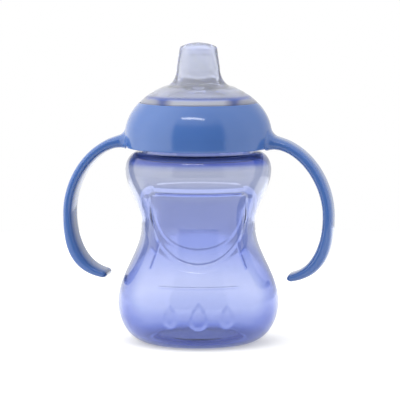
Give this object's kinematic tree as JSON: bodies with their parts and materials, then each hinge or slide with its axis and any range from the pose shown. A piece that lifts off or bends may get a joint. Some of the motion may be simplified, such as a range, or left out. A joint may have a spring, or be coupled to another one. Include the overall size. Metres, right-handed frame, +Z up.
{
  "type": "sippy cup",
  "caption": "Hourglass trainer cup for toddlers with a screw cap, C-shaped side handles and a soft silicone spout.",
  "frame": {"origin": "centre of the flat ring that the bottle stands on, in the resting plane", "axes": "+Z up along the cup's axis, -Y out of the bottle's front, with the handles near the X axis"},
  "size_m": [0.1268, 0.0752, 0.1398],
  "materials": {
    "tinted_bottle": "translucent periwinkle polypropylene, glossy",
    "clear_silicone": "translucent silicone, softly glossy",
    "blue_cap": "opaque cornflower-blue polypropylene, glossy"
  },
  "bodies": {
    "bottle": {"bottle": "tinted_bottle", "bottle_thread": "tinted_bottle"},
    "spout": {"spout": "clear_silicone", "air_vent": "clear_silicone"},
    "cap": {"cap": "blue_cap", "cap_thread": "blue_cap", "left_handle": "blue_cap", "right_handle": "blue_cap"}
  },
  "joints": [
    {"name": "spout_lift", "type": "slide", "parent": "bottle", "child": "spout", "axis": [0, 0, 1], "range_m": [0, 0.0075]},
    {"name": "cap_turn", "type": "hinge", "parent": "spout", "child": "cap", "pos_m": [0, 0, 0.097], "axis": [0, 0, 1], "range_deg": [0, 540]}
  ],
  "couplings": [
    {"joint": "spout_lift", "follows": "cap_turn", "m_per_rad": 0.00079577}
  ]
}
